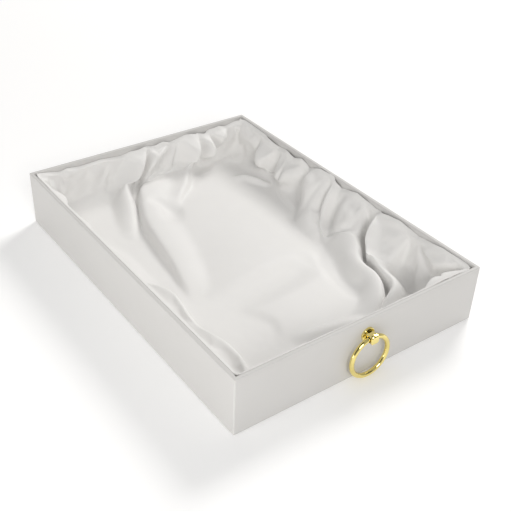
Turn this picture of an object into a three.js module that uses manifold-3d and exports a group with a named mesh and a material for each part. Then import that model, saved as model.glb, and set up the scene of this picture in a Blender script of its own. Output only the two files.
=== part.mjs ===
// A shallow rigid drawer tray of a gift box, lined with satin, with a hanging ring pull.
// Millimetres. +Z is up, +Y points to the rear, and the pull is on the front (-Y) face.
// The origin is the middle of the underside.
import * as THREE from "three";
import { mergeVertices } from "three/addons/utils/BufferGeometryUtils.js";
import Module from "manifold-3d";

const wasm = await Module();
wasm.setup();

// ---- Driving dimensions ----
const WIDTH = 150; // outside, along X
const LENGTH = 210; // outside, along Y
const HEIGHT = 33; // floor to rim
const PAPER = 0.25; // covering paper with its glue
const TAPE = 0.15; // paper tape on the outside of each corner
const BOARD = 1.5; // greyboard

const TAPE_ARM = 18; // how far a corner tape reaches along each wall
const RIM_TURN_IN = 16; // how far the covering paper reaches down inside the rim
const BASE_TURN_IN = 14; // how far it reaches in under the base
const UNDERSIDE_INSET = 2; // from the tray's outline to the underside sheet's edge

const WADDING_THICK = 3;
const WADDING_INSET = 2; // from the inner wall
const WADDING_CORNER = 6; // corner radius

const SATIN_GAP = 0.3; // clear space round the lining
const SATIN_HEM_DROP = 2.5; // from the rim to the lining's hem
const SATIN_CORNER = 5; // outer corner radius
const SATIN_INNER_CORNER = 4;
const SATIN_FLOOR_THICK = 1.7;
// The lining's inner face: [share of its height, distance in from its outer face].
const SATIN_PROFILE = [
  [0, 12],
  [0.09, 8],
  [0.55, 6],
  [1, 2.5],
];

const PULL_HEIGHT = 24; // middle of the post above the floor
const RING_TUBE = 2.5; // diameter
const RING_MIDDLE = 22.2; // diameter of the ring's centre line
const RING_SEGMENTS = 80;
const RING_SIDES = 18;
const RING_STAND_OFF = 3.4; // centre line to the front face
const ROSETTE_WIDE = 7.6; // diameter
const ROSETTE_THICK = 1;
const ROSETTE_EDGE = 0.3; // rounding
const POST_SIDE = 4.8;
const POST_CHAMFER = 0.9;
const POST_END_CHAMFER = 0.5;
const POST_REACH = 6; // front face to the post's end
const POST_HOLE = 3.4; // diameter
const STUD_WIDE = 3; // diameter
const STUD_ROOT = 0.5; // how far the stud reaches into the post
const STUD_HOLE = 3.3; // diameter
const STUD_PAST_NUT = 0.3;
const WASHER_WIDE = 7; // diameter
const WASHER_THICK = 0.5;
const NUT_FLATS = 5.5;
const NUT_SIDES = 6;
const NUT_THICK = 1.6;
const NUT_BORE = 3.1; // diameter
const POCKET_CLEARANCE = 0.6; // round the nut and washer, in the lining

const ROUND_SIDES = 40; // facets on a round piece
const CORNER_STEPS = 5; // facets on a rounded corner
const ROSETTE_STEPS = 4; // facets on the rosette's rounded edge
const CUT_MARGIN = 1; // how far a cutting tool runs past the faces that it cuts
const SAME_POINT = 1e-6; // two points closer than this are one
const WELD = 1e-4; // vertices closer than this are merged

// ---- Levels and faces worked out from them ----
const wrapBottom = PAPER;
const baseBottom = 2 * PAPER;
const baseTop = baseBottom + BOARD;
const wallTop = HEIGHT - PAPER;
const turnInBottom = HEIGHT - RIM_TURN_IN;
const boardX = WIDTH / 2 - PAPER - TAPE; // outer face of the side boards
const boardY = LENGTH / 2 - PAPER - TAPE;
const insideX = boardX - BOARD; // inner face of the side boards
const insideY = boardY - BOARD;
const clearX = insideX - PAPER; // inner face of the turned-in paper
const clearY = insideY - PAPER;
const frontFace = -LENGTH / 2;
const waddingTop = baseTop + WADDING_THICK;
const satinBottom = waddingTop + SATIN_GAP;
const satinTop = HEIGHT - SATIN_HEM_DROP;
const satinX = clearX - SATIN_GAP;
const satinY = clearY - SATIN_GAP;
const washerTop = -clearY + WASHER_THICK; // the fixing's faces, along +Y
const nutTop = washerTop + NUT_THICK;
const studEnd = nutTop + STUD_PAST_NUT;

// ---- Materials ----
const finish = (color, roughness, metalness = 0) =>
  new THREE.MeshStandardMaterial({ color, roughness, metalness });
const greyboard = finish(0xa39a8c, 0.95);
const whitePaper = finish(0xf0ede9, 0.55);
const kraftTape = finish(0xcdb592, 0.8);
const wadding = finish(0xf7f6f2, 1);
const satin = finish(0xf1efec, 0.35);
const gold = finish(0xe8cf72, 0.12, 1);
const steel = finish(0xc9c9c6, 0.35, 1);

// ---- Shape helpers ----
// A box between two corners, with its faces at exactly those numbers.
function block(low, high) {
  const g = new THREE.BoxGeometry(1, 1, 1);
  const p = g.attributes.position;
  for (let i = 0; i < p.count; i++)
    p.setXYZ(
      i,
      p.getX(i) < 0 ? low[0] : high[0],
      p.getY(i) < 0 ? low[1] : high[1],
      p.getZ(i) < 0 ? low[2] : high[2],
    );
  return g;
}

// A box centred on the Z axis.
const centred = (halfX, halfY, low, high) =>
  block([-halfX, -halfY, low], [halfX, halfY, high]);

function solid(geometry) {
  const bare = geometry.clone();
  bare.deleteAttribute("normal");
  bare.deleteAttribute("uv");
  const merged = mergeVertices(bare, WELD);
  return new wasm.Manifold(
    new wasm.Mesh({
      numProp: 3,
      vertProperties: merged.attributes.position.array,
      triVerts: new Uint32Array(merged.index.array),
    }),
  );
}

function geometryOf(manifold) {
  const m = manifold.getMesh();
  const g = new THREE.BufferGeometry();
  g.setAttribute("position", new THREE.BufferAttribute(new Float32Array(m.vertProperties), 3));
  g.setIndex(new THREE.BufferAttribute(new Uint32Array(m.triVerts), 1));
  g.computeVertexNormals();
  return g;
}

const cut = (body, ...tools) =>
  geometryOf(tools.reduce((left, tool) => left.subtract(solid(tool)), solid(body)));

// A profile of [radius, distance along Y] points, turned round the pull's axis.
function turned(profile, sides = ROUND_SIDES) {
  const points = profile.map(([r, y]) => new THREE.Vector2(r, y));
  const g = new THREE.LatheGeometry(points, sides);
  g.translate(0, 0, PULL_HEIGHT);
  return g;
}

// A rod along Y on the pull's axis.
const rod = (diameter, low, high, sides = ROUND_SIDES) =>
  turned([[0, low], [diameter / 2, low], [diameter / 2, high], [0, high]], sides);

function roundedRectangle(halfX, halfY, radius) {
  const s = new THREE.Shape();
  s.moveTo(-halfX + radius, -halfY);
  s.lineTo(halfX - radius, -halfY);
  s.absarc(halfX - radius, -halfY + radius, radius, -Math.PI / 2, 0);
  s.lineTo(halfX, halfY - radius);
  s.absarc(halfX - radius, halfY - radius, radius, 0, Math.PI / 2);
  s.lineTo(-halfX + radius, halfY);
  s.absarc(-halfX + radius, halfY - radius, radius, Math.PI / 2, Math.PI);
  s.lineTo(-halfX, -halfY + radius);
  s.absarc(-halfX + radius, -halfY + radius, radius, Math.PI, 1.5 * Math.PI);
  return s;
}

// A closed body through rounded rectangles at rising heights: {halfX, halfY, radius, z}.
function lofted(levels) {
  const outlines = levels.map(({ halfX, halfY, radius }) => {
    const points = roundedRectangle(halfX, halfY, radius).getPoints(CORNER_STEPS);
    return points.filter((p, i) => i === 0 || p.distanceTo(points[i - 1]) > SAME_POINT);
  });
  const first = outlines[0];
  const closed = first[0].distanceTo(first[first.length - 1]) < SAME_POINT;
  const n = first.length - (closed ? 1 : 0);
  const positions = outlines.flatMap((outline, k) =>
    outline.slice(0, n).flatMap((p) => [p.x, p.y, levels[k].z]),
  );
  const top = (levels.length - 1) * n;
  const index = [];
  for (let k = 0; k < levels.length - 1; k++)
    for (let i = 0; i < n; i++) {
      const [a, b] = [k * n + i, k * n + ((i + 1) % n)];
      index.push(a, b, b + n, a, b + n, a + n);
    }
  for (let i = 1; i < n - 1; i++) {
    index.push(0, i + 1, i);
    index.push(top, top + i, top + i + 1);
  }
  const g = new THREE.BufferGeometry();
  g.setAttribute("position", new THREE.Float32BufferAttribute(positions, 3));
  g.setIndex(index);
  g.computeVertexNormals();
  return g;
}

// ---- The assembly ----
const tray = new THREE.Group();
const pull = new THREE.Group();
const box = new THREE.Group().add(tray, pull);

function piece(group, name, geometry, material) {
  const mesh = new THREE.Mesh(geometry, material);
  mesh.name = name;
  group.add(mesh);
  return mesh;
}

// Greyboard: four walls stand on the base board, and the long walls run past the short ones.
function addBoards() {
  const studHole = rod(STUD_HOLE, frontFace, -clearY);
  piece(tray, "base_board", centred(boardX, boardY, baseBottom, baseTop), greyboard);
  piece(
    tray,
    "left_board",
    block([-boardX, -boardY, baseTop], [-insideX, boardY, wallTop]),
    greyboard,
  );
  piece(
    tray,
    "right_board",
    block([insideX, -boardY, baseTop], [boardX, boardY, wallTop]),
    greyboard,
  );
  piece(
    tray,
    "front_board",
    cut(block([-insideX, -boardY, baseTop], [insideX, -insideY, wallTop]), studHole),
    greyboard,
  );
  piece(
    tray,
    "rear_board",
    block([-insideX, insideY, baseTop], [insideX, boardY, wallTop]),
    greyboard,
  );
}

// An L of tape round the outside of one corner; sx and sy are the corner's signs.
function cornerTape(sx, sy) {
  const outline = new THREE.Shape();
  const corner = [
    [boardX + TAPE, boardY + TAPE],
    [boardX + TAPE, boardY - TAPE_ARM],
    [boardX, boardY - TAPE_ARM],
    [boardX, boardY],
    [boardX - TAPE_ARM, boardY],
    [boardX - TAPE_ARM, boardY + TAPE],
  ];
  corner.forEach(([x, y], i) =>
    i ? outline.lineTo(sx * x, sy * y) : outline.moveTo(sx * x, sy * y),
  );
  outline.closePath();
  const g = new THREE.ExtrudeGeometry(outline, {
    depth: wallTop - baseBottom,
    bevelEnabled: false,
  });
  const p = g.attributes.position;
  for (let i = 0; i < p.count; i++) p.setZ(i, p.getZ(i) > 0 ? wallTop : baseBottom);
  return g;
}

const corners = [
  ["front_left", -1, -1],
  ["front_right", 1, -1],
  ["rear_left", -1, 1],
  ["rear_right", 1, 1],
];

function addCornerTapes() {
  for (const [name, sx, sy] of corners)
    piece(tray, name + "_corner_tape", cornerTape(sx, sy), kraftTape);
}

// One strip of paper round the walls, folded over the rim and in under the base.
function addWallWrap() {
  const strip = solid(centred(WIDTH / 2, LENGTH / 2, wrapBottom, HEIGHT));
  const boards = solid(centred(boardX, boardY, baseBottom, wallTop)).subtract(
    solid(centred(insideX, insideY, turnInBottom, wallTop)),
  );
  const cavity = solid(centred(clearX, clearY, turnInBottom, HEIGHT + CUT_MARGIN));
  const underside = solid(
    centred(
      WIDTH / 2 - BASE_TURN_IN,
      LENGTH / 2 - BASE_TURN_IN,
      wrapBottom - CUT_MARGIN,
      baseBottom,
    ),
  );
  let wrap = strip.subtract(boards).subtract(cavity).subtract(underside);
  for (const [, sx, sy] of corners) wrap = wrap.subtract(solid(cornerTape(sx, sy)));
  const studHole = rod(STUD_HOLE, frontFace - CUT_MARGIN, -clearY + CUT_MARGIN);
  wrap = wrap.subtract(solid(studHole));
  piece(tray, "wall_wrap", geometryOf(wrap), whitePaper);
}

function addUndersideSheet() {
  piece(
    tray,
    "underside_sheet",
    centred(WIDTH / 2 - UNDERSIDE_INSET, LENGTH / 2 - UNDERSIDE_INSET, 0, wrapBottom),
    whitePaper,
  );
}

function addWadding() {
  const outline = roundedRectangle(
    insideX - WADDING_INSET,
    insideY - WADDING_INSET,
    WADDING_CORNER,
  );
  const g = new THREE.ExtrudeGeometry(outline, {
    depth: WADDING_THICK,
    bevelEnabled: false,
    curveSegments: CORNER_STEPS,
  });
  g.translate(0, 0, baseTop);
  piece(tray, "base_wadding", g, wadding);
}

// The lining as a basin: one closed body with the drape's rough thickness.
function addSatinLining() {
  const outer = lofted([
    { halfX: satinX, halfY: satinY, radius: SATIN_CORNER, z: satinBottom },
    { halfX: satinX, halfY: satinY, radius: SATIN_CORNER, z: satinTop },
  ]);
  const floor = satinBottom + SATIN_FLOOR_THICK;
  const inner = SATIN_PROFILE.map(([share, inset]) => ({
    halfX: satinX - inset,
    halfY: satinY - inset,
    radius: SATIN_INNER_CORNER,
    z: floor + share * (satinTop - floor),
  }));
  const mouth = inner[inner.length - 1];
  const cavity = lofted([...inner, { ...mouth, z: satinTop + CUT_MARGIN }]);
  const pocketWide = WASHER_WIDE + 2 * POCKET_CLEARANCE;
  const pocket = rod(pocketWide, -clearY - CUT_MARGIN, studEnd + SATIN_GAP);
  piece(tray, "satin_lining", cut(outer, cavity, pocket), satin);
}

// The pull's backplate, a disc with a rounded front edge, flat against the front face.
function addRosette() {
  const [outer, back, front] = [ROSETTE_WIDE / 2, frontFace, frontFace - ROSETTE_THICK];
  const bore = STUD_HOLE / 2;
  const rounding = Array.from({ length: ROSETTE_STEPS + 1 }, (_, i) => {
    const t = (i / ROSETTE_STEPS) * (Math.PI / 2);
    return [
      outer - ROSETTE_EDGE + ROSETTE_EDGE * Math.sin(t),
      front + ROSETTE_EDGE - ROSETTE_EDGE * Math.cos(t),
    ];
  });
  const profile = [[bore, front], ...rounding, [outer, back], [bore, back], [bore, front]];
  piece(pull, "pull_rosette", turned(profile), gold);
}

// A square post with chamfered edges, its cross hole, and the threaded stud behind it.
function addPost() {
  const half = POST_SIDE / 2;
  const section = new THREE.Shape();
  const [long, short] = [half, half - POST_CHAMFER];
  const points = [
    [long, short],
    [short, long],
    [-short, long],
    [-long, short],
    [-long, -short],
    [-short, -long],
    [short, -long],
    [long, -short],
  ];
  points.forEach(([x, z], i) => (i ? section.lineTo(x, z) : section.moveTo(x, z)));
  section.closePath();
  const back = frontFace - ROSETTE_THICK;
  const reach = POST_REACH - ROSETTE_THICK;
  const body = new THREE.ExtrudeGeometry(section, {
    depth: reach - POST_END_CHAMFER,
    bevelEnabled: true,
    bevelThickness: POST_END_CHAMFER,
    bevelSize: POST_END_CHAMFER,
    bevelOffset: -POST_END_CHAMFER,
    bevelSegments: 1,
  });
  body.rotateX(Math.PI / 2);
  body.translate(0, back, PULL_HEIGHT);
  const past = half + CUT_MARGIN;
  const flatBack = block(
    [-past, back, PULL_HEIGHT - past],
    [past, back + POST_END_CHAMFER + CUT_MARGIN, PULL_HEIGHT + past],
  );
  const bore = POST_HOLE / 2;
  const hole = new THREE.CylinderGeometry(bore, bore, 2 * past, ROUND_SIDES);
  hole.rotateZ(Math.PI / 2);
  hole.translate(0, frontFace - RING_STAND_OFF, PULL_HEIGHT);
  const stud = rod(STUD_WIDE, back - STUD_ROOT, studEnd);
  const post = solid(body).subtract(solid(flatBack)).subtract(solid(hole)).add(solid(stud));
  piece(pull, "pull_post", geometryOf(post), gold);
}

// The washer and the nut that hold the pull, inside the front wall.
function addFixing() {
  piece(
    pull,
    "pull_washer",
    turned([
      [STUD_HOLE / 2, -clearY],
      [WASHER_WIDE / 2, -clearY],
      [WASHER_WIDE / 2, washerTop],
      [STUD_HOLE / 2, washerTop],
      [STUD_HOLE / 2, -clearY],
    ]),
    steel,
  );
  const nut = rod(NUT_FLATS / Math.cos(Math.PI / NUT_SIDES), washerTop, nutTop, NUT_SIDES);
  const nutBore = rod(NUT_BORE, washerTop - CUT_MARGIN, nutTop + CUT_MARGIN);
  piece(pull, "pull_nut", cut(nut, nutBore), steel);
}

// The ring hangs through the post's cross hole and turns about its line.
function addRing() {
  const g = new THREE.TorusGeometry(RING_MIDDLE / 2, RING_TUBE / 2, RING_SIDES, RING_SEGMENTS);
  g.rotateX(Math.PI / 2);
  g.translate(0, frontFace - RING_STAND_OFF, PULL_HEIGHT - RING_MIDDLE / 2);
  piece(pull, "pull_ring", g, gold);
}

addUndersideSheet();
addBoards();
addCornerTapes();
addWallWrap();
addWadding();
addSatinLining();
addRosette();
addPost();
addFixing();
addRing();

export default box;
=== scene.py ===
"""A satin-lined gift tray with a gold ring pull.

Paper-wrapped greyboard walls hold a gathered satin lining over a thin wadding pad.
"""
import math

import bmesh
import bpy
import numpy as np
from mathutils import Matrix, Vector


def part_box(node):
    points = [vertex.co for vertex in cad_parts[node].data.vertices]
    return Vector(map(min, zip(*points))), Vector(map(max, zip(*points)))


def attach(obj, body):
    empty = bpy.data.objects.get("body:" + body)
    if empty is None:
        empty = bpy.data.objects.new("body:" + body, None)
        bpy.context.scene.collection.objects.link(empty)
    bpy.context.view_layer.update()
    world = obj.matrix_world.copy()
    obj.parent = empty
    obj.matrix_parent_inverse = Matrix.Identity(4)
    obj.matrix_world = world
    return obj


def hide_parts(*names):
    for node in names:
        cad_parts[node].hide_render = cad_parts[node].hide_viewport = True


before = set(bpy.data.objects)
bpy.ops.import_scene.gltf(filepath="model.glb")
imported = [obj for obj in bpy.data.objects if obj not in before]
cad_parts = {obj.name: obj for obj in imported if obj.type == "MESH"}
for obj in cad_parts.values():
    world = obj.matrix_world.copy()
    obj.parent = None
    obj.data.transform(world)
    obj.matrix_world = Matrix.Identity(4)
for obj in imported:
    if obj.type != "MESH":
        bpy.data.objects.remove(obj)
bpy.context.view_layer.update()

MM = 0.001

# ---------------------------------------------------------------- camera, floor and light

CAMERA_PLACE = (-226.88, -318.43, 276.18)
CAMERA_AZIMUTH = math.radians(-36.928)
CAMERA_ELEVATION = math.radians(34.486)
CAMERA_ROLL = math.radians(2.237)
CAMERA_LENS = 59.83

FLOOR_SIZE = 6.0
FLOOR_COLOUR = (0.93, 0.93, 0.93)
SKY_COLOUR = (1.0, 0.995, 0.985)
SKY_STRENGTH = 0.43
FLOOR_GLOW = 0.13


def add_camera():
    """The camera looks down on the front-left corner, turned a little about its own axis."""
    a, e = CAMERA_AZIMUTH, CAMERA_ELEVATION
    back = Vector((math.sin(a) * math.cos(e), -math.cos(a) * math.cos(e), math.sin(e)))
    right = (-back).cross(Vector((0, 0, 1))).normalized()
    up = back.cross(right)
    c, s = math.cos(CAMERA_ROLL), math.sin(CAMERA_ROLL)
    axes = Matrix((c * right + s * up, c * up - s * right, back)).transposed()
    data = bpy.data.cameras.new("camera")
    data.lens = CAMERA_LENS
    data.sensor_width = 36
    camera = bpy.data.objects.new("camera", data)
    camera.matrix_world = Matrix.Translation(Vector(CAMERA_PLACE) * MM) @ axes.to_4x4()
    bpy.context.scene.collection.objects.link(camera)
    bpy.context.scene.camera = camera


def add_area_light(name, place, target, size, watts, colour=(1, 1, 1)):
    data = bpy.data.lights.new(name, "AREA")
    data.shape = "DISK"
    data.size = size
    data.energy = watts
    data.color = colour
    light = bpy.data.objects.new(name, data)
    light.location = place
    light.rotation_euler = (Vector(target) - Vector(place)).to_track_quat("-Z", "Y").to_euler()
    bpy.context.scene.collection.objects.link(light)


def add_mesh(name, vertices, faces, smooth=True, material=None):
    mesh = bpy.data.meshes.new(name)
    mesh.from_pydata([tuple(v) for v in vertices], [], faces)
    mesh.validate()
    if smooth:
        mesh.shade_smooth()
    if material:
        mesh.materials.append(material)
    piece = bpy.data.objects.new(name, mesh)
    bpy.context.scene.collection.objects.link(piece)
    return piece


def strip_faces(rows, around, closed=True):
    """Faces between rows of places, each row a closed loop; closed also joins the last row to the first."""
    faces = []
    for row in range(rows if closed else rows - 1):
        here, above = row * around, (row + 1) % rows * around
        for n in range(around):
            after = (n + 1) % around
            faces.append((here + n, here + after, above + after, above + n))
    return faces


def add_card(name, place, target, width, height, material):
    """A dark card that only polished metal sees."""
    w, h = width / 2, height / 2
    card = add_mesh(name, [(-w, -h, 0), (w, -h, 0), (w, h, 0), (-w, h, 0)], [(0, 1, 2, 3)], False, material)
    card.location = place
    card.rotation_euler = (Vector(target) - Vector(place)).to_track_quat("-Z", "Y").to_euler()
    card.visible_camera = False
    card.visible_diffuse = False
    card.visible_shadow = False
    card.visible_transmission = False


def add_studio():
    scene = bpy.context.scene
    scene.view_settings.view_transform = "Standard"
    world = bpy.data.worlds.new("studio")
    world.use_nodes = True
    nodes = world.node_tree.nodes
    link = world.node_tree.links.new
    background = nodes["Background"]
    background.inputs["Color"].default_value = (*SKY_COLOUR, 1)
    background.inputs["Strength"].default_value = SKY_STRENGTH
    # beyond the floor's edge the studio is plain white, though it lights the tray less than that
    backdrop = nodes.new("ShaderNodeBackground")
    backdrop.inputs["Color"].default_value = (1, 1, 1, 1)
    path = nodes.new("ShaderNodeLightPath")
    mix = nodes.new("ShaderNodeMixShader")
    link(path.outputs["Is Camera Ray"], mix.inputs[0])
    link(background.outputs[0], mix.inputs[1])
    link(backdrop.outputs[0], mix.inputs[2])
    link(mix.outputs[0], nodes["World Output"].inputs["Surface"])
    scene.world = world

    floor_material, floor_shader = new_material("studio_floor", FLOOR_COLOUR, roughness=0.9)
    floor_shader.inputs["Specular IOR Level"].default_value = 0.0
    floor_shader.inputs["Emission Color"].default_value = (1, 1, 1, 1)
    floor_shader.inputs["Emission Strength"].default_value = FLOOR_GLOW
    half = FLOOR_SIZE / 2
    floor = add_mesh(
        "floor", [(-half, -half, 0), (half, -half, 0), (half, half, 0), (-half, half, 0)], [(0, 1, 2, 3)],
        False, floor_material,
    )

    add_area_light("key", (1.5, 0.75, 1.35), (0, 0, 0), 0.75, 25, (1.0, 0.985, 0.965))
    add_area_light("fill", (-0.5, -0.10, 0.07), (-0.05, -0.08, 0.01), 0.3, 0.85, (1.0, 0.99, 0.97))
    add_area_light("front", (-0.5, -1.4, 0.9), (0, 0, 0), 0.6, 9.5, (1.0, 0.99, 0.98))
    dark = new_material("dark_card", (0.01, 0.01, 0.01), roughness=1.0)[0]
    pull = (0, -0.11, 0.02)
    add_card("card_left", (-0.27, -0.11, 0.27), pull, 0.45, 0.50, dark)
    add_card("card_right", (0.175, -0.31, 0.25), pull, 0.25, 0.16, dark)


# ---------------------------------------------------------------- materials


def new_material(name, colour, roughness=0.5, metallic=0.0):
    """A material with a Principled shader; returns it with its node tree's helper."""
    material = bpy.data.materials.new(name)
    material.use_nodes = True
    shader = material.node_tree.nodes["Principled BSDF"]
    shader.inputs["Base Color"].default_value = (*colour, 1)
    shader.inputs["Roughness"].default_value = roughness
    shader.inputs["Metallic"].default_value = metallic
    return material, shader


class Nodes:
    """Short calls for the few node kinds that the materials share."""

    def __init__(self, material):
        self.tree = material.node_tree

    def add(self, kind, **settings):
        node = self.tree.nodes.new(kind)
        for key, value in settings.items():
            setattr(node, key, value)
        return node

    def link(self, source, target):
        self.tree.links.new(source, target)
        return target

    def place(self, scale=(1, 1, 1), uv=False):
        """Texture coordinates in millimetres, stretched by scale."""
        where = self.add("ShaderNodeTexCoord").outputs["UV" if uv else "Object"]
        mapping = self.add("ShaderNodeMapping")
        unit = 1.0 if uv else 1 / MM
        mapping.inputs["Scale"].default_value = tuple(unit * s for s in scale)
        self.link(where, mapping.inputs["Vector"])
        return mapping.outputs["Vector"]

    def noise(self, where, scale, detail=3.0, roughness=0.55):
        node = self.add("ShaderNodeTexNoise")
        node.inputs["Scale"].default_value = scale
        node.inputs["Detail"].default_value = detail
        node.inputs["Roughness"].default_value = roughness
        self.link(where, node.inputs["Vector"])
        return node.outputs["Fac"]

    def wave(self, where, scale, direction):
        node = self.add("ShaderNodeTexWave", wave_type="BANDS", bands_direction=direction,
                        wave_profile="SIN")
        node.inputs["Scale"].default_value = scale
        node.inputs["Distortion"].default_value = 0.0
        self.link(where, node.inputs["Vector"])
        return node.outputs["Fac"]

    def math(self, operation, a, b):
        node = self.add("ShaderNodeMath", operation=operation)
        for value, socket in ((a, node.inputs[0]), (b, node.inputs[1])):
            if isinstance(value, (int, float)):
                socket.default_value = value
            else:
                self.link(value, socket)
        return node.outputs[0]

    def span(self, value, low, high):
        """value from 0..1 to low..high."""
        node = self.add("ShaderNodeMapRange")
        node.inputs["To Min"].default_value = low
        node.inputs["To Max"].default_value = high
        self.link(value, node.inputs["Value"])
        return node.outputs["Result"]

    def tint(self, value, low, high):
        """A colour from low to high by value."""
        node = self.add("ShaderNodeMix", data_type="RGBA")
        node.inputs["A"].default_value = (*low, 1)
        node.inputs["B"].default_value = (*high, 1)
        self.link(value, node.inputs["Factor"])
        return node.outputs["Result"]

    def bump(self, height, distance, shader, strength=1.0):
        node = self.add("ShaderNodeBump")
        node.inputs["Strength"].default_value = strength
        node.inputs["Distance"].default_value = distance
        self.link(height, node.inputs["Height"])
        self.link(node.outputs["Normal"], shader.inputs["Normal"])


def satin_material():
    """Ivory satin: soft sheen, a fine warp and weft, and slight changes of tone across the cloth."""
    material, shader = new_material("satin", (0.81, 0.80, 0.785), roughness=0.6)
    shader.inputs["Specular IOR Level"].default_value = 0.3
    shader.inputs["Sheen Weight"].default_value = 0.25
    shader.inputs["Sheen Roughness"].default_value = 0.4
    n = Nodes(material)
    cloth = n.place(uv=True)
    warp = n.wave(cloth, 1.1, "X")
    weft = n.wave(cloth, 0.75, "Y")
    slub = n.noise(n.place((0.12, 1.6, 1), uv=True), 1.0, detail=2.0)
    soft = n.noise(n.place(uv=True), 0.05, detail=3.0)
    n.link(n.tint(soft, (0.792, 0.782, 0.766), (0.828, 0.820, 0.806)), shader.inputs["Base Color"])
    n.link(n.span(slub, 0.52, 0.66), shader.inputs["Roughness"])
    weave = n.math("ADD", n.math("MULTIPLY", warp, weft), n.math("MULTIPLY", slub, 0.5))
    n.bump(weave, 0.00002, shader, 0.15)
    return material


def paper_material():
    """Matt off-white wrapping paper with a fine felt texture."""
    material, shader = new_material("wrap_paper", (0.64, 0.63, 0.61), roughness=0.6)
    shader.inputs["Specular IOR Level"].default_value = 0.4
    n = Nodes(material)
    fibre = n.noise(n.place(), 2.2, detail=5.0)
    cloud = n.noise(n.place(), 0.03, detail=3.0)
    n.link(n.tint(cloud, (0.620, 0.609, 0.592), (0.655, 0.645, 0.630)), shader.inputs["Base Color"])
    n.link(n.span(fibre, 0.5, 0.68), shader.inputs["Roughness"])
    n.bump(fibre, 0.00003, shader, 0.5)
    return material


def gold_material():
    """Polished pale gold plating with faint hairlines."""
    material, shader = new_material("polished_gold", (0.90, 0.76, 0.28), roughness=0.08, metallic=1.0)
    n = Nodes(material)
    hair = n.noise(n.place((0.6, 6, 6)), 1.5, detail=4.0)
    cloud = n.noise(n.place(), 0.3)
    n.link(n.tint(cloud, (0.87, 0.73, 0.25), (0.93, 0.79, 0.33)), shader.inputs["Base Color"])
    n.link(n.span(hair, 0.03, 0.08), shader.inputs["Roughness"])
    n.bump(hair, 0.00001, shader, 0.15)
    return material


def steel_material():
    material, shader = new_material("plated_steel", (0.62, 0.61, 0.59), roughness=0.3, metallic=1.0)
    n = Nodes(material)
    grain = n.noise(n.place((1, 8, 8)), 1.0, detail=4.0)
    n.link(n.tint(grain, (0.55, 0.54, 0.52), (0.70, 0.69, 0.66)), shader.inputs["Base Color"])
    n.link(n.span(grain, 0.22, 0.4), shader.inputs["Roughness"])
    n.bump(grain, 0.00001, shader, 0.3)
    return material


def board_material():
    material, shader = new_material("greyboard", (0.36, 0.35, 0.33), roughness=0.9)
    n = Nodes(material)
    fleck = n.noise(n.place((1, 1, 2.5)), 1.3, detail=6.0, roughness=0.7)
    n.link(n.tint(fleck, (0.24, 0.235, 0.22), (0.50, 0.485, 0.46)), shader.inputs["Base Color"])
    n.bump(fleck, 0.0001, shader, 0.6)
    return material


def tape_material():
    material, shader = new_material("corner_tape", (0.62, 0.50, 0.34), roughness=0.55)
    n = Nodes(material)
    fibre = n.noise(n.place((3, 3, 0.6)), 1.0, detail=5.0)
    n.link(n.tint(fibre, (0.54, 0.43, 0.29), (0.68, 0.56, 0.40)), shader.inputs["Base Color"])
    n.bump(fibre, 0.00004, shader, 0.5)
    return material


def wadding_material():
    material, shader = new_material("wadding", (0.85, 0.85, 0.84), roughness=0.95)
    shader.inputs["Sheen Weight"].default_value = 0.6
    n = Nodes(material)
    fluff = n.noise(n.place(), 0.9, detail=8.0, roughness=0.75)
    n.link(n.tint(fluff, (0.72, 0.72, 0.70), (0.92, 0.92, 0.91)), shader.inputs["Base Color"])
    n.bump(fluff, 0.0006, shader, 0.8)
    return material


def give(piece, material):
    """piece shows this material and no other."""
    piece.data.materials.clear()
    piece.data.materials.append(material)


# ---------------------------------------------------------------- satin lining

SATIN_GAP = 0.1        # satin's outermost face to the CAD lining's, mm
FLOOR_TOP = 7.0        # the lining's floor
HEM_TOP = 29.5         # mean height of the hem
CELL = 0.8             # the sheet's grid
APRON = 20.0           # flat floor between the inner rectangle and the wall
FOOT_RADIUS = 6.0      # the bend from floor to wall
FOOT_GAP = 1.8         # satin to wall at the foot of the wall
LOWEST = 5.7           # nothing of the satin lies lower
HEM_DEPTH = 9.0        # the glued hem holds the cloth less and less down to here
NORMALS_SMOOTHED = 150  # rounds of smoothing, so that high folds open out from the foot of the wall
BLEND = 8              # how sharply a higher fold takes over from a lower one
SLANT_REACH = (50.0, 66.0)  # the floor between these x gives way to the right wall's sloping cloth
SLANT = ((-78, 0), (-55, 8), (-18, 11), (20, 8), (48, 0))  # how far the wall's foot moves in, by y


class Stroke:
    """A fold or crease along a smooth line of points (x, y, z, height, width), mm.

    The points were read off the photograph, placed on the tray through the camera, and then
    rounded and moved.

    height is how far the cloth stands out from the plain lining there, negative in a crease.
    side scales the width on the line's right and left, as it is travelled with the cloth's face up.
    lean moves the raised cloth to the line's right, and droop moves it down, as shares of its height.
    shape is 1 for a fold with a sharp foot and 2 for one that runs out softly.
    """

    def __init__(self, *points, side=(1.0, 1.0), lean=0.0, droop=0.0, shape=2.0):
        self.line = smooth_line(np.array(points, float))
        self.side = side
        self.lean = lean
        self.droop = droop
        self.shape = shape


def smooth_line(points, step=3.0):
    """A Catmull-Rom line through the points, with a point about every step."""
    ends = np.vstack([2 * points[0] - points[1], points, 2 * points[-1] - points[-2]])
    out = []
    for a, b, c, d in zip(ends, ends[1:], ends[2:], ends[3:]):
        count = max(1, int(np.linalg.norm((c - b)[:3]) / step))
        for t in np.arange(count) / count:
            out.append(0.5 * (2 * b + (c - a) * t + (2 * a - 5 * b + 4 * c - d) * t**2
                              + (3 * b - a - 3 * c + d) * t**3))
    return np.array(out + [points[-1]])


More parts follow.
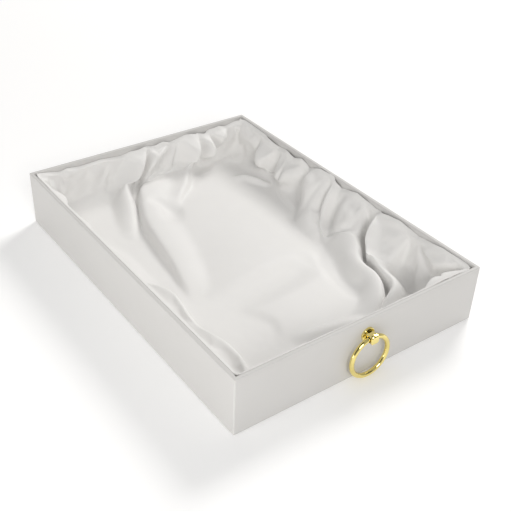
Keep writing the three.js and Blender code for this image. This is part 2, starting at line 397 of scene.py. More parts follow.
def slanted(places):
    """The right wall's foot moved in, so that its cloth slopes from the hem down to the floor."""
    x, y, z = places[..., 0], places[..., 1], places[..., 2]
    start, foot = SLANT_REACH
    on_floor = np.clip((x - start) / (foot - start), 0, 1)
    up = np.clip((z - FLOOR_TOP) / (HEM_TOP - FLOOR_TOP), 0, 1)
    moved = places.copy()
    moved[..., 0] -= np.interp(y, *zip(*SLANT)) * on_floor * (1 - up)
    return moved


def raise_cloth(stroke, places, normals):
    """How far the stroke raises the cloth at each place, and the way to the stroke's right there."""
    best = np.full(len(places), 1e9)
    height = np.zeros(len(places))
    width = np.ones(len(places))
    way = np.zeros_like(places)
    side = np.zeros(len(places))
    line = slanted(stroke.line)
    for start, end in zip(line[:-1], line[1:]):
        along = (end - start)[:3]
        t = np.clip(((places - start[:3]) @ along) / max(along @ along, 1e-9), 0, 1)
        off = places - (start[:3] + t[:, None] * along)
        reach = np.linalg.norm(off, axis=1)
        nearer = reach < best
        right = np.cross(along / max(np.linalg.norm(along), 1e-9), normals)
        best = np.where(nearer, reach, best)
        height = np.where(nearer, start[3] + t * (end[3] - start[3]), height)
        width = np.where(nearer, start[4] + t * (end[4] - start[4]), width)
        side = np.where(nearer, np.einsum("ij,ij->i", right, off), side)
        way = np.where(nearer[:, None], right, way)
    # the two sides' widths pass into each other over the middle of the fold
    mix = 0.5 + 0.5 * np.clip(side / (0.5 * width), -1, 1)
    width = width * (mix * stroke.side[0] + (1 - mix) * stroke.side[1])
    share = np.clip(1 - (best / width) ** 2, 0, 1)
    return height * share**stroke.shape, way


RIDGES = [
    # rear wall, from the left corner to the right one
    Stroke((-71, 101, 31, 2, 5), (-67, 99, 25, 5, 7), (-66, 97, 16, 6, 8), shape=1.2),
    Stroke((-53, 102, 29, 3, 4), (-54, 102, 25, 3, 4.5), shape=1.2),
    Stroke((-36, 102, 28, 1.5, 13), (-36, 102, 20, 3, 15)),
    Stroke((-4, 102, 31, 7, 4.5), (-9, 102, 24, 10, 4.5), (-16, 101, 15, 12, 5), (-22, 97, 8, 12, 5.5),
           (-26, 87, 7, 9, 6.5), (-29, 76, 7, 6, 7.5), (-33, 64, 7, 4, 8), (-37, 51, 7, 1.5, 8),
           lean=-0.3, shape=0.9),
    Stroke((14, 102, 31, 5, 7.5), (8, 102, 24, 7, 7.5), (2, 101, 17, 8, 7), (-3, 99, 10, 6, 6.5),
           (-7, 93, 7, 3.5, 6), lean=0.35, shape=1.1),
    Stroke((34, 102, 31, 9, 4), (29, 102, 23, 13, 4.2), (25, 101, 15, 14, 4.2), (23, 98, 8, 13, 4.5),
           (19, 89, 7, 7.5, 5), (12, 80, 7, 5.5, 5), (4, 72, 7, 5, 5), (-2, 64, 7, 3.5, 5),
           (-4, 53, 7, 1, 5),
           lean=-0.35, shape=0.8),
    Stroke((40, 102, 31, 5, 5), (41, 102, 25, 9, 6), (41, 101, 19, 10, 6), (40, 100, 16, 8, 5),
           droop=0.45, lean=-0.25, shape=1.0),
    Stroke((54, 102, 31, 4, 6), (54, 102, 26, 8, 6.5), (52, 101, 21, 6, 6), droop=0.35, shape=1.1),
    # the long bolster that curves from the rear wall down the floor
    Stroke((26, 99, 7, 3, 9), (11, 97, 7, 5, 10), (-1, 91, 7, 6.5, 11), (-11, 80, 7, 7.5, 11),
           (-18, 67, 7, 7.5, 11),
           (-24, 53, 7, 7, 11), (-27, 39, 7, 6.5, 10.5), (-30, 23, 7, 6, 10), (-33, 8, 7, 5, 9),
           (-37, -7, 7, 3.5, 8), (-40, -20, 7, 0.5, 7), side=(0.7, 2.0), lean=0.35, shape=1.2),
    # left side: soft puffs, and the drape that spans from the hem to the floor at the front
    Stroke((-72, 94, 24, 6, 9), (-71, 84, 20, 9, 10), (-71, 73, 18, 4, 9)),
    Stroke((-66, 52, 8, 3, 13), (-62, 32, 7, 5.5, 13), (-62, 12, 7, 5, 13), (-60, -4, 7, 5, 11)),
    Stroke((-66, 2, 12, 7, 10), (-61, -16, 9, 10, 11), (-65, -32, 9, 12, 12), (-67, -46, 9, 12, 12),
           (-65, -57, 9, 12, 12), (-61, -67, 9, 11, 12), (-62, -79, 9, 11, 12), (-66, -93, 9, 10, 12),
           side=(1.5, 1.0), lean=-0.45, shape=1.0),
    # right wall, from the rear corner to the front one
    Stroke((72, 67, 28, 4, 9), (72, 67, 21, 10, 10), (72, 66, 15, 10, 9), droop=0.4, lean=0.15, shape=1.0),
    Stroke((72, 43, 30, 5, 11), (72, 43, 22, 10, 13), (72, 44, 15, 11, 12),
           droop=0.4, lean=0.18, shape=0.9),
    Stroke((72, 18, 31, 5, 10), (72, 17, 24, 8, 12), (71, 13, 16, 9, 12), (67, 7, 9, 9, 11),
           (60, 0, 7, 7, 10),
           (55, -6, 7, 4, 9), lean=0.15, shape=1.1),
    Stroke((72, 3, 32, 4, 3.5), (72, 2, 23, 5, 4), (71, -1, 14, 6, 4.5), (65, -8, 8, 6, 5),
           (58, -16, 7, 4, 5),
           (52, -24, 7, 2, 5), lean=0.3, shape=1.0),
    Stroke((72, -16, 31, 4, 10), (72, -17, 24, 8, 11), (71, -19, 17, 11, 11), (67, -24, 9, 13, 10),
           (60, -30, 7, 12.5, 9),
           (53, -35, 7, 11, 8.5), (47, -41, 7, 10, 8), (43, -48, 7, 9.5, 7.5), (42, -55, 7, 9.5, 7),
           (42, -62, 7, 9.5, 7),
           (39, -69, 7, 9, 7), (34, -75, 7, 7.5, 7), (28, -79, 7, 5, 7), (19, -82, 7, 2, 7),
           side=(1.1, 0.9), lean=-0.25,
           shape=0.9),
    Stroke((72, -46, 31, 4, 13), (72, -47, 23, 6, 14), (71, -49, 16, 8, 13), (68, -52, 9, 9, 12),
           (62, -57, 7, 8, 9),
           shape=1.3),
    Stroke((72, -38, 30, 6, 4), (72, -40, 20, 11, 4.5), (69, -45, 11, 13, 5), (63, -51, 7, 13, 5),
           (57, -59, 7, 10, 5.5),
           (53, -66, 7, 10, 5.5), (51, -73, 7, 10.5, 5.5), (47, -79, 7, 10, 5.5), (40, -82, 7, 8, 5.5),
           (31, -84, 7, 3, 6),
           side=(0.8, 1.0), lean=0.3, shape=0.75),
    Stroke((72, -82, 32, 3, 15), (72, -82, 23, 6, 17), (71, -82, 14, 5, 16)),
    # front wall
    Stroke((70, -99, 28, 3, 6), (61, -102, 27, 9, 8), (51, -102, 27, 9, 8), (41, -102, 26, 3, 7)),
    Stroke((-20, -75, 7, 0.5, 7), (-6, -78, 7, 4, 6), (9, -80, 7, 4, 6), (26, -83, 7, 2, 6), shape=1.2),
    *[Stroke((x, -102, 20, 6, 12), (x + 1, -102, 14, 7, 13), shape=1.2) for x in (34, 10, -13, -37, -58)],
    # left wall, above the puffs
    *[Stroke((-72, y, 22, 5, 11), (-72, y - 1, 16, 7, 12), shape=1.2) for y in (52, 27, 2, -24, -50, -76)],
    # low swells of the floor, and the small curved tuck under the right wall
    Stroke((-22, -43, 7, 0.8, 8), (-4, -47, 7, 1.8, 9), (14, -44, 7, 0.8, 8)),
    Stroke((2, 40, 7, 3.2, 46), (6, 0, 7, 3.6, 46), (2, -45, 7, 3.2, 42), shape=1.2),
    # over the pull's nut, on the front wall
    Stroke((-1, -102, 24, 4, 8), (1, -102, 24, 4, 8), shape=1.2),
    Stroke((46, 73, 7, 0.5, 3.5), (53, 71, 7, 3.5, 3.5), (57, 64, 7, 4.5, 4), (61, 57, 8, 3, 4.5),
           shape=1.0, lean=0.3),
]

CREASES = [
    Stroke((5, 102, 30, -4, 2.5), (0, 102, 23, -7, 3), (-6, 101, 16, -9, 3), (-11, 99, 10, -8, 3),
           (-14, 93, 7, -3, 3)),
    Stroke((-14, 102, 29, -2, 3), (-20, 102, 21, -3, 4), (-26, 101, 13, -3, 4)),
    Stroke((18, 102, 29, -4, 3.5), (19, 101, 21, -6, 3.5), (20, 100, 13, -6, 3.5)),
    Stroke((39, 102, 29, -3, 3), (35, 101, 21, -5, 3), (32, 100, 13, -5, 3.5)),
    Stroke((47, 102, 29, -3, 3.5), (48, 101, 20, -5, 4.5)),
    Stroke((-17, 92, 7, -1, 5), (-19, 79, 7, -2, 5), (-26, 65, 7, -2, 6), (-32, 51, 7, -1.6, 7),
           (-37, 34, 7, -1.4, 8),
           (-41, 15, 7, -1.2, 8), (-45, -4, 7, -1, 6)),
    Stroke((-10, 65, 7, -2, 7), (-8, 57, 7, -3.5, 7.5), (-12, 49, 7, -1.5, 7)),
    Stroke((71, 75, 30, -4, 4), (71, 84, 25, -7, 4.5), (69, 91, 24, -2, 3)),
    Stroke((72, 57, 31, -4, 3.5), (72, 58, 22, -7, 4), (71, 60, 12, -6, 4)),
    Stroke((72, 43, 28, -0.5, 4), (72, 43, 20, -1.5, 4), (71, 45, 12, -1.5, 4)),
    Stroke((72, 29, 31, -5, 3.5), (72, 28, 22, -7, 4), (71, 29, 12, -7, 4)),
    Stroke((72, 7, 32, -3, 2.5), (72, 6, 22, -3, 3), (70, 3, 12, -3, 3)),
    Stroke((72, -3, 32, -5, 2.5), (72, -3.5, 22, -5, 2.5), (69, -8, 12, -4, 3), (61, -15, 7, -3, 3)),
    Stroke((72, -31, 30, -3, 3), (72, -33, 20, -3, 3), (70, -37, 11, -3, 3), (62, -44, 7, -3, 3),
           (54, -51, 7, -3, 3), (49, -57, 7, -3, 3), (47, -64, 7, -3, 3), (45, -71, 7, -3, 3),
           (40, -77, 7, -2, 3)),
    Stroke((72, -65, 30, -4, 5), (72, -64, 20, -6, 5), (70, -62, 10, -5, 5), (64, -64, 7, -4, 5),
           (60, -74, 7, -2, 5)),
    Stroke((57, -102, 31, -2, 2.5), (57, -102, 26, -3.5, 2.5)),
    Stroke((-27, -34, 7, -1.5, 13), (-8, -33, 7, -3, 15), (12, -31, 7, -3, 15), (25, -29, 7, -1.5, 13)),
    Stroke((-31, -50, 7, -2, 11), (-28, -58, 7, -3.5, 12), (-31, -66, 7, -2, 11)),
    Stroke((41, -24, 7, -1, 7), (36, -38, 7, -3, 8), (32, -50, 7, -3, 8), (31, -62, 7, -2, 7)),
]

# the hem's height where it dips and rises, as (place along the wall, height)
HEM_REAR = ((-72, 32.5), (-57, 29.5), (-53, 30.5), (-45, 29.3), (-31, 30), (-17, 28.5), (-3, 31),
            (6, 29), (12, 30.5), (18, 28.5), (32, 31.3), (43, 28.8), (54, 31), (60, 29), (72, 31.5))
HEM_RIGHT = ((-102, 31.5), (-82, 32), (-64, 29.5), (-50, 32), (-31, 29.5), (-15, 32.2), (-1, 28.5),
             (7, 32.6), (18, 32.6), (29, 28), (36, 31.5), (43, 29.3), (50, 30.5), (58, 29),
             (68, 30.5), (80, 31.3), (102, 32))
HEM_OTHER = 32.3

# the cloth simulation
CLOTH_THICKNESS = 0.4
CLOTH_GRAVITY = 0.15
CLOTH_BENDING = 0.4
WALL_CLOTH = 40.0      # cloth this far in from the hem belongs to the walls
FLOOR_HOLD = 0.6       # how firmly the floor's cloth keeps its place
SPARE_LENGTH = 0.003   # the walls' cloth is this much longer than its drawn shape
SETTLE_FRAMES = 12
HEM_TURN = 0.5         # the turned edge's size
HEM_ROLL = ((0.35, 0.35), (0.9, 0.2), (1.1, -1.5))  # its rows, outwards and up, as shares of that size
NUT_COVER = (4.0, 9.0)  # the cloth over the pull's nut keeps its drawn shape within these distances

# corner radius of the hem: rear left, rear right, front left, front right
HEM_RADII = {(-1, 1): 3.0, (1, 1): 7.0, (-1, -1): 3.0, (1, -1): 4.0}


def foot_profile(length, top):
    """Distance from the wall and height at a length along the lining from its inner rectangle outwards."""
    flat = APRON - FOOT_GAP - FOOT_RADIUS
    bend = FOOT_RADIUS * math.pi / 2
    if length < flat:
        return APRON - length, FLOOR_TOP
    if length < flat + bend:
        angle = (length - flat) / FOOT_RADIUS
        off = FOOT_GAP + FOOT_RADIUS * (1 - math.sin(angle))
        return off, FLOOR_TOP + FOOT_RADIUS * (1 - math.cos(angle))
    rise = length - flat - bend
    share = rise / top
    return FOOT_GAP * (1 - share) + 0.2 * share, FLOOR_TOP + FOOT_RADIUS + rise


def corner_point(half_x, half_y, inner_x, radius, share):
    """A point of a rounded rectangle's quarter, from (inner_x, half_y) at share 0 to the diagonal at 1."""
    straight = max(half_x - radius - inner_x, 0)
    arc = radius * math.pi / 4
    run = share * (straight + arc)
    if run <= straight or radius < 1e-6:
        return inner_x + run, half_y
    angle = (run - straight) / radius
    return half_x - radius + radius * math.sin(angle), half_y - radius + radius * math.cos(angle)


def lining_base(half_x, half_y):
    """The plain lining as a grid of places: flat floor, bent foot and walls with rounded corners."""
    flat = APRON - FOOT_GAP - FOOT_RADIUS
    rise = HEM_TOP - FLOOR_TOP - FOOT_RADIUS
    rings = round((flat + FOOT_RADIUS * math.pi / 2 + rise) / CELL)
    inner = (half_x - APRON, half_y - APRON)
    core = [round(size / CELL) for size in inner]
    count = [core[0] + rings, core[1] + rings]
    places = np.zeros((2 * count[0] + 1, 2 * count[1] + 1, 3))
    for i in range(places.shape[0]):
        for j in range(places.shape[1]):
            ci, cj = i - count[0], j - count[1]
            ring = max(abs(ci) - core[0], abs(cj) - core[1], 0)
            sign = (1 if ci > 0 else -1, 1 if cj > 0 else -1)
            if ring == 0:
                places[i, j] = (ci / core[0] * inner[0], cj / core[1] * inner[1], FLOOR_TOP)
                continue
            off, z = foot_profile(ring * CELL, rise)
            radius = min(APRON - off, HEM_RADII[sign])
            wx, wy = half_x - off, half_y - off
            if abs(ci) - core[0] == ring and abs(cj) <= core[1]:
                x, y = wx, abs(cj) / core[1] * inner[1]
            elif abs(cj) - core[1] == ring and abs(ci) <= core[0]:
                x, y = abs(ci) / core[0] * inner[0], wy
            elif abs(cj) - core[1] == ring:
                x, y = corner_point(wx, wy, inner[0], radius, (abs(ci) - core[0]) / ring)
            else:
                y, x = corner_point(wy, wx, inner[1], radius, (abs(cj) - core[1]) / ring)
            places[i, j] = (x * (1 if ci >= 0 else -1), y * (1 if cj >= 0 else -1), z)
    return places


def grid_normals(places):
    """Unit normals of a grid of places, pointing up and into the tray."""
    across = np.gradient(places, axis=0)
    along = np.gradient(places, axis=1)
    normals = np.cross(across, along)
    return normals / np.maximum(np.linalg.norm(normals, axis=2, keepdims=True), 1e-9)


def relax(grid, times, hold=None, share=0.5):
    """Each inner place moves towards the mean of its four neighbours, less where hold is near 1."""
    for _ in range(times):
        mean = (grid[:-2, 1:-1] + grid[2:, 1:-1] + grid[1:-1, :-2] + grid[1:-1, 2:]) / 4
        pull = share if hold is None else share * (1 - hold[1:-1, 1:-1, None])
        grid[1:-1, 1:-1] += pull * (mean - grid[1:-1, 1:-1])
    return grid


def scallop_hem(places, half_x, half_y):
    """The wall part stretched up or down to the hem's own height at each place."""
    x, y, z = places[..., 0], places[..., 1], places[..., 2]
    rear = np.interp(x, *zip(*HEM_REAR))
    right = np.interp(y, *zip(*HEM_RIGHT))
    top = np.full(x.shape, HEM_OTHER)
    to_rear, to_right = half_y - y, half_x - x
    top = np.where((to_rear < to_right) & (to_rear < APRON), rear, top)
    top = np.where((to_right <= to_rear) & (to_right < APRON), right, top)
    share = (z - FLOOR_TOP) / (HEM_TOP - FLOOR_TOP)
    places[..., 2] = FLOOR_TOP + share * (top - FLOOR_TOP)
    return places


def ring_numbers(shape):
    """How many cells each place of a grid lies in from the grid's edge."""
    i, j = np.meshgrid(np.arange(shape[0]), np.arange(shape[1]), indexing="ij")
    return np.minimum(np.minimum(i, shape[0] - 1 - i), np.minimum(j, shape[1] - 1 - j))


def held_at_hem(places):
    """1 where the glued hem holds the cloth, 0 well below it; looser at the rear and right."""
    depth = ring_numbers(places.shape[:2]) * CELL
    loose = (places[..., 0] > 0.6 * places[..., 0].max()) | (places[..., 1] > 0.8 * places[..., 1].max())
    least = np.where(loose, 0.75, 1.0)
    return least * np.clip(1 - depth / HEM_DEPTH, 0, 1) ** 2


def drape_lining(places):
    """The gathered lining: ridges joined by a soft maximum, creases cut between them."""
    normals = relax(grid_normals(places), NORMALS_SMOOTHED)
    normals /= np.linalg.norm(normals, axis=2, keepdims=True)
    plain = places.reshape(-1, 3)
    out = normals.reshape(-1, 3)
    down = np.array((0.0, 0.0, -1.0))
    total = np.full(len(plain), 1e-6)
    shift = np.zeros_like(plain)
    for stroke in RIDGES:
        height, way = raise_cloth(stroke, plain, out)
        weight = np.maximum(height, 0) ** BLEND
        total += weight
        shift += weight[:, None] * (stroke.lean * way + stroke.droop * down)
    height = total ** (1 / BLEND)
    shift = shift / total[:, None] * height[:, None]
    for stroke in CREASES:
        height += raise_cloth(stroke, plain, out)[0]
    held = held_at_hem(places).reshape(-1, 1)
    height = np.maximum(height, 0)[:, None]
    return (plain + (out * height + shift) * (1 - held)).reshape(places.shape)


def keep_inside(grid, half_x, half_y):
    grid[..., 0] = np.clip(grid[..., 0], -half_x, half_x)
    grid[..., 1] = np.clip(grid[..., 1], -half_y, half_y)
    grid[..., 2] = np.maximum(grid[..., 2], LOWEST)
    return grid


def grid_mesh(name, grid, material, cell):
    """A grid of places in mm as a smooth mesh whose UVs are the cloth's own millimetres."""
    columns, rows = grid.shape[:2]
    index = np.arange(columns * rows).reshape(columns, rows)
    corners = [index[:-1, :-1], index[1:, :-1], index[1:, 1:], index[:-1, 1:]]
    faces = np.stack(corners, axis=-1).reshape(-1, 4)
    piece = add_mesh(name, grid.reshape(-1, 3) * MM, faces.tolist(), True, material)
    layer = piece.data.uv_layers.new(name="cloth")
    corners = np.zeros(len(piece.data.loops), int)
    piece.data.loops.foreach_get("vertex_index", corners)
    uv = np.stack([corners // rows, corners % rows], axis=-1) * cell
    layer.data.foreach_set("uv", uv.astype(float).ravel())
    return piece


def add_wall_plane(name, corners):
    """A plane that the cloth can't pass while it settles."""
    plane = add_mesh(name, corners, [(0, 1, 2, 3)], False)
    plane.modifiers.new("collision", "COLLISION")
    plane.collision.thickness_outer = CLOTH_THICKNESS * MM
    plane.collision.cloth_friction = 15
    return plane


def settle_cloth(piece, grid, half_x, half_y):
    """A short cloth simulation: the walls' cloth has spare length and buckles, the floor's keeps its place.

    Returns the settled grid and removes the piece.
    """
    x, y, top = half_x * MM, half_y * MM, 0.045
    ends = [(x, y), (x, -y), (-x, -y), (-x, y)]
    planes = [add_wall_plane("stop_floor", [(a, b, LOWEST * MM) for a, b in reversed(ends)])]
    for (a, b), (c, d) in zip(ends, ends[1:] + ends[:1]):
        planes.append(add_wall_plane("stop_wall", [(a, b, 0), (c, d, 0), (c, d, top), (a, b, top)]))

    depth = ring_numbers(grid.shape[:2]) * CELL
    wall = np.clip((WALL_CLOTH - depth) / 10, 0, 1)
    hold = np.where(depth < 1.5 * CELL, 1.0, 0.03 * wall + FLOOR_HOLD * (1 - wall))
    low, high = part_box("pull_nut")
    from_nut = np.linalg.norm(grid - np.array((low + high) / 2 / MM), axis=2)
    hold = np.maximum(hold, np.interp(from_nut, NUT_COVER, (1, 0))).ravel()
    held = piece.vertex_groups.new(name="held")
    spare = piece.vertex_groups.new(name="spare")
    for share, group in ((hold, held), (wall.ravel(), spare)):
        steps = np.round(share * 20) / 20
        for step in np.unique(steps[steps > 0]):
            group.add(np.flatnonzero(steps == step).tolist(), float(step), "REPLACE")

    cloth = piece.modifiers.new("cloth", "CLOTH")
    facts = cloth.settings
    facts.quality = 5
    facts.mass = 0.1
    facts.tension_stiffness = facts.compression_stiffness = 15
    facts.shear_stiffness = 5
    facts.bending_stiffness = CLOTH_BENDING
    facts.air_damping = 2
    facts.effector_weights.gravity = CLOTH_GRAVITY
    facts.vertex_group_mass = held.name
    facts.pin_stiffness = 1.0
    facts.vertex_group_shrink = spare.name
    facts.shrink_min = 0.0
    facts.shrink_max = -SPARE_LENGTH
    cloth.collision_settings.use_collision = True
    cloth.collision_settings.distance_min = CLOTH_THICKNESS * MM
    cloth.collision_settings.use_self_collision = False
    cloth.point_cache.frame_start = 1
    cloth.point_cache.frame_end = SETTLE_FRAMES + 1
    for number in range(1, SETTLE_FRAMES + 1):
        bpy.context.scene.frame_set(number)
    settled = piece.evaluated_get(bpy.context.evaluated_depsgraph_get()).to_mesh()
    places = np.zeros(len(settled.vertices) * 3)
    settled.vertices.foreach_get("co", places)
    for used in [piece, *planes]:
        bpy.data.objects.remove(used)
    bpy.context.scene.frame_set(1)
    return places.reshape(grid.shape) / MM


def add_turned_hem(grid):
    """Three more rows at the edge: the cloth turns over outwards and down behind itself."""
    for axis in (0, 1):
        for end in (0, -1):
            edge = np.take(grid, [end], axis=axis)
            out = np.zeros_like(edge)
            out[..., 0] = np.sign(edge[..., 0]) * (axis == 0)
            out[..., 1] = np.sign(edge[..., 1]) * (axis == 1)
            rows = [edge + HEM_TURN * (out * a + np.array((0, 0, b))) for a, b in HEM_ROLL]
            grid = np.concatenate(rows[::-1] + [grid] if end == 0 else [grid] + rows, axis=axis)
    return grid


def add_satin(material):
    low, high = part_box("satin_lining")
    half_x = high.x / MM - SATIN_GAP
    half_y = high.y / MM - SATIN_GAP
    places = lining_base(half_x, half_y)
    places = slanted(scallop_hem(places, half_x, half_y))
    grid = drape_lining(places)
    grid = relax(keep_inside(grid, half_x, half_y), 2)
    grid = settle_cloth(grid_mesh("settling", grid, material, CELL), grid, half_x, half_y)
    grid = relax(keep_inside(grid, half_x, half_y), 6)
    grid = add_turned_hem(grid)
    piece = grid_mesh("satin_sheet", grid, material, CELL)
    subdivide(piece, 1)
    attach(piece, "tray")
    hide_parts("satin_lining")
    return piece


def subdivide(piece, levels):
    modifier = piece.modifiers.new("subdivision", "SUBSURF")
    modifier.levels = modifier.render_levels = levels


# ---------------------------------------------------------------- wrapping paper and wadding

TRAY_HALF = (75, 105)  # half the tray's width and length, mm
OUTER_CORNER = 0.8     # the wrapped box's vertical corners, mm
EDGE_ROLL = 0.6        # the paper's bend over the rim and under the base
CORNER_STEPS = 6
SIDE_STEPS = (42, 30)  # along Y and along X
PAPER = 0.25
BASE_TURN_IN = 14.0
RIM_TURN_IN = 16.0
RIM_WIDTH = 2.15       # outer face to the turned-in paper's face
WAVE_HEIGHT = 0.05     # how far the walls' paper strays from flat
LAP_LENGTH = 13.0      # the strip's end overlaps its start on the rear wall, by the left corner
LAP_STEP = 0.18
SHARP_ABOVE = math.radians(35)  # steeper edges than this shade as creases
STUD_BORE = 3.3        # the hole in the front wall's paper
BORE_REACH = 200       # the hole's cutter runs from the middle of the tray out past the front wall
ON_FACE = 0.1          # paper this near to the outer faces belongs to them
PAD_CORNER = 6.0


def rounded_outline(half_x, half_y, radius):
    """Places round a rounded rectangle, anticlockwise from the front-right corner."""
    arcs = []
    for sx, sy, start in ((1, -1, -90), (1, 1, 0), (-1, 1, 90), (-1, -1, 180)):
        angle = np.radians(start + np.linspace(0, 90, CORNER_STEPS + 1))
        centre = np.array((sx * (half_x - radius), sy * (half_y - radius)))
        arcs.append(centre + radius * np.stack([np.cos(angle), np.sin(angle)], axis=-1))
    places = []
    for arc, following, steps in zip(arcs, arcs[1:] + arcs[:1], SIDE_STEPS * 2):
        places.extend(arc)
        places.extend(arc[-1] + t * (following[0] - arc[-1]) for t in np.arange(1, steps) / steps)
    return np.array(places)


def swept(name, profile, half_x, half_y, radius, material, ends_closed=False, shift=None):
    """A profile of (distance in from the outline, height) swept round a rounded rectangle."""
    rows = []
    for inset, z in profile:
        ring = rounded_outline(half_x - inset, half_y - inset, max(radius - inset, 0.02))
        rows.append(np.column_stack([ring, np.full(len(ring), z)]))
    grid = np.array(rows)
    if shift:
        grid = shift(grid, np.array(profile))
    count, around = grid.shape[:2]
    faces = strip_faces(count, around, closed=not ends_closed)
    if ends_closed:
        faces.append(tuple(range(around)))
        faces.append(tuple(range((count - 1) * around, count * around)))
    piece = add_mesh(name, grid.reshape(-1, 3) * MM, faces, True, material)
    turn_faces_out(piece)
    piece.data.set_sharp_from_angle(angle=SHARP_ABOVE)
    return piece


def turn_faces_out(piece):
    edit = bmesh.new()
    edit.from_mesh(piece.data)
    bmesh.ops.recalc_face_normals(edit, faces=edit.faces)
    edit.to_mesh(piece.data)
    edit.free()


def bend(centre, radius, start, end, steps=5):
    """Profile points on an arc, its angles in degrees."""
    angles = np.radians(np.linspace(start, end, steps))
    return [(centre[0] + radius * math.cos(a), centre[1] + radius * math.sin(a)) for a in angles]


def unevenness(grid, profile):
    """The walls' paper a little uneven, with the strip's end lapped over its start on the rear wall."""
    outer = profile[:, 0] < 0.01
    for row in np.flatnonzero(outer):
        x, y, z = grid[row].T
        wave = np.sin(0.11 * x + 0.05 * z + 1.0) + np.sin(0.083 * y - 0.07 * z)
        wave = wave + 0.6 * np.sin(0.23 * (x + y) + 0.1 * z)
        on_side = np.abs(x) > TRAY_HALF[0] - ON_FACE
        on_end = np.abs(y) > TRAY_HALF[1] - ON_FACE
        way = np.stack([np.sign(x) * on_side, np.sign(y) * on_end], axis=-1)
        lap = (y > TRAY_HALF[1] - ON_FACE) & (x < LAP_LENGTH - TRAY_HALF[0])
        grid[row, :, :2] += way * (WAVE_HEIGHT / 2.6 * wave + LAP_STEP * lap)[:, None]
    return grid


def add_wrap(material):
    """The covering paper: up the walls, over the rim and down inside, and in under the base."""
    low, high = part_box("wall_wrap")
    half_x, half_y, bottom, top = high.x / MM, high.y / MM, low.z / MM, high.z / MM
    roll, back = EDGE_ROLL, RIM_WIDTH - PAPER
    walls = [(0, z) for z in np.linspace(bottom + roll, top - roll, 9)[1:-1]]
    profile = [(BASE_TURN_IN, bottom), *bend((roll, bottom + roll), roll, 270, 180), *walls,
               *bend((roll, top - roll), roll, 180, 90), *bend((RIM_WIDTH - roll, top - roll), roll, 90, 0),
               (RIM_WIDTH, top - RIM_TURN_IN), (back, top - RIM_TURN_IN),
               (back, top - PAPER), (PAPER, top - PAPER),
               (PAPER, bottom + PAPER), (BASE_TURN_IN, bottom + PAPER)]
    piece = swept("wrap_paper_strip", profile, half_x, half_y, OUTER_CORNER, material, shift=unevenness)
    bore = turned_piece("bore", rod_profile(STUD_BORE / 2, -BORE_REACH, 0), post_height(), None)
    combine(piece, bore, "DIFFERENCE")
    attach(piece, "tray")
    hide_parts("wall_wrap")


def add_wadding_pad(material):
    """A thin pad under the satin, its edges rounded over and its top a little lumpy."""
    low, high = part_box("base_wadding")
    bottom, top = low.z / MM, high.z / MM
    profile = [(3, bottom), (0.8, bottom), (0.1, bottom + 0.7), (0, bottom + 1.4),
               (0.4, bottom + 2.2), (1.6, top - 0.2), (4, top)]
    profile += [(inset, top) for inset in range(8, 68, 6)]

    def lumps(grid, profile):
        for row in np.flatnonzero(profile[:, 0] > 3.5):
            x, y = grid[row, :, 0], grid[row, :, 1]
            grid[row, :, 2] -= 0.12 * (1 + np.sin(0.31 * x + 0.7) * np.sin(0.27 * y))
        return grid

    piece = swept("wadding_pad", profile, high.x / MM, high.y / MM, PAD_CORNER, material, True, lumps)
    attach(piece, "tray")
    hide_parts("base_wadding")


# ---------------------------------------------------------------- the pull

RING_STEPS = (160, 40)  # round the ring and round its tube
TURN_STEPS = 72
POST_CHAMFER = 0.9
POST_END_CHAMFER = 0.5
POST_EDGE = 0.14
HOLE_WIDE = 3.4
STUD_WIDE = 3.0
ROSETTE_ROLL = 0.35
STUD_ROOT = 0.3        # how far the stud starts inside the post
POST_BEVEL_ABOVE = math.radians(25)


def post_height():
    low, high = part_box("pull_rosette")
    return (low.z + high.z) / 2 / MM


def rod_profile(radius, start, end):
    return [(0, start), (radius, start), (radius, end), (0, end)]


def turned_piece(name, profile, height, material):
    """A closed profile of (radius, y) turned round a line along Y at this height."""
    angles = np.arange(TURN_STEPS) / TURN_STEPS * 2 * math.pi
    places = [(r * math.cos(a), y, height + r * math.sin(a)) for r, y in profile for a in angles]
    piece = add_mesh(name, np.array(places) * MM, strip_faces(len(profile), TURN_STEPS), True, material)
    edit = bmesh.new()
    edit.from_mesh(piece.data)
    bmesh.ops.remove_doubles(edit, verts=edit.verts, dist=1e-7)
    bmesh.ops.dissolve_degenerate(edit, edges=edit.edges, dist=1e-7)
    bmesh.ops.recalc_face_normals(edit, faces=edit.faces)
    edit.to_mesh(piece.data)
    edit.free()
    return piece


def apply_modifiers(piece):
    shown = piece.evaluated_get(bpy.context.evaluated_depsgraph_get())
    mesh = bpy.data.meshes.new_from_object(shown)
    piece.modifiers.clear()
    piece.data = mesh


def combine(piece, tool, operation):
    """Cut the tool from the piece or join it, then remove the tool."""
    modifier = piece.modifiers.new("combine", "BOOLEAN")
    modifier.operation = operation
    modifier.object = tool
    modifier.solver = "EXACT"
    apply_modifiers(piece)
    bpy.data.objects.remove(tool)


def add_ring(material):
    low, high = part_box("pull_ring")
    tube = (high.y - low.y) / 2
    middle = (high.x - low.x) / 2 - tube
    centre = (low + high) / 2
    around, across = RING_STEPS
    places = []
    for a in np.arange(around) / around * 2 * math.pi:
        for b in np.arange(across) / across * 2 * math.pi:
            reach = middle + tube * math.cos(b)
            x, y, z = reach * math.cos(a), tube * math.sin(b), reach * math.sin(a)
            places.append((centre.x + x, centre.y + y, centre.z + z))
    piece = add_mesh("ring_polished", places, strip_faces(around, across), True, material)
    turn_faces_out(piece)
    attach(piece, "ring")
    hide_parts("pull_ring")


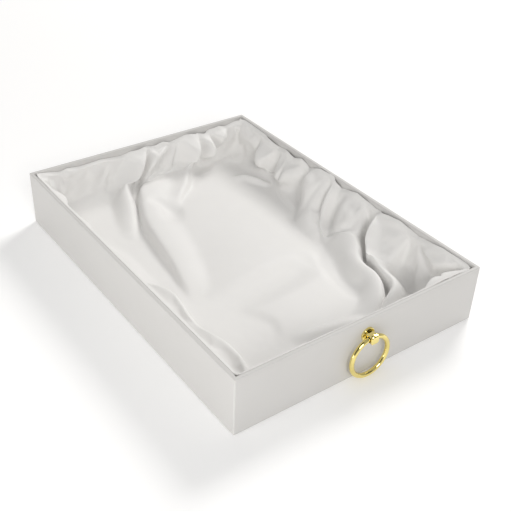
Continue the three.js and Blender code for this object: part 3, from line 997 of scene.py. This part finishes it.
def add_rosette(material):
    low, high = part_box("pull_rosette")
    outer, front, back = high.x / MM, low.y / MM, high.y / MM
    edge = [(outer - ROSETTE_ROLL * (1 - math.sin(a)), front + ROSETTE_ROLL * (1 - math.cos(a)))
            for a in np.linspace(0, math.pi / 2, 7)]
    profile = [(STUD_WIDE / 2, front), *edge, (outer, back), (STUD_WIDE / 2, back)]
    piece = turned_piece("rosette_polished", profile, post_height(), material)
    piece.data.set_sharp_from_angle(angle=SHARP_ABOVE)
    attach(piece, "tray")
    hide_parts("pull_rosette")


def post_section(half, chamfer):
    short = half - chamfer
    return [(half, short), (short, half), (-short, half), (-half, short), (-half, -short), (-short, -half),
            (short, -half), (half, -short)]


def add_post(material):
    """A square post with chamfered edges and end, its cross hole and the stud behind it."""
    low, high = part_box("pull_post")
    half, end, stud_end, height = high.x / MM, low.y / MM, high.y / MM, post_height()
    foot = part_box("pull_rosette")[0].y / MM
    small = half - POST_END_CHAMFER
    narrow = POST_CHAMFER - POST_END_CHAMFER * (1 - math.tan(math.pi / 8))
    rings = [(foot, half, POST_CHAMFER), (end + POST_END_CHAMFER, half, POST_CHAMFER), (end, small, narrow)]
    places = [(x, y, height + z) for y, wide, chamfer in rings for x, z in post_section(wide, chamfer)]
    sides = len(post_section(half, POST_CHAMFER))
    faces = strip_faces(len(rings), sides, closed=False)
    faces += [tuple(range(sides)), tuple(range(2 * sides, 3 * sides))]
    piece = add_mesh("post_polished", np.array(places) * MM, faces, True, material)
    turn_faces_out(piece)
    ring_low, ring_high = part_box("pull_ring")
    hole = turned_piece("hole", rod_profile(HOLE_WIDE / 2, -2 * half, 2 * half), 0, None)
    middle = Matrix.Translation((0, (ring_low.y + ring_high.y) / 2, height * MM))
    hole.matrix_world = middle @ Matrix.Rotation(math.pi / 2, 4, "Z")
    bpy.context.view_layer.update()
    combine(piece, hole, "DIFFERENCE")
    bevel = piece.modifiers.new("bevel", "BEVEL")
    bevel.width = POST_EDGE * MM
    bevel.segments = 3
    bevel.limit_method = "ANGLE"
    bevel.angle_limit = POST_BEVEL_ABOVE
    apply_modifiers(piece)
    stud = turned_piece("stud", rod_profile(STUD_WIDE / 2, foot - STUD_ROOT, stud_end), height, None)
    combine(piece, stud, "UNION")
    piece.data.shade_smooth()
    piece.data.set_sharp_from_angle(angle=SHARP_ABOVE)
    give(piece, material)
    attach(piece, "tray")
    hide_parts("pull_post")


# ---------------------------------------------------------------- the tray

paper = paper_material()
gold = gold_material()
steel = steel_material()
board = board_material()
tape = tape_material()
wadding = wadding_material()
satin = satin_material()

add_camera()
add_studio()
for name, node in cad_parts.items():
    if "tape" in name:
        give(node, tape)
    elif "board" in name:
        give(node, board)
    elif name == "base_wadding":
        give(node, wadding)
    elif name in ("wall_wrap", "underside_sheet"):
        give(node, paper)
    elif name in ("pull_washer", "pull_nut"):
        give(node, steel)
    elif name.startswith("pull"):
        give(node, gold)
    elif name == "satin_lining":
        give(node, satin)
add_wrap(paper)
add_wadding_pad(wadding)
add_ring(gold)
add_rosette(gold)
add_post(gold)
add_satin(satin)
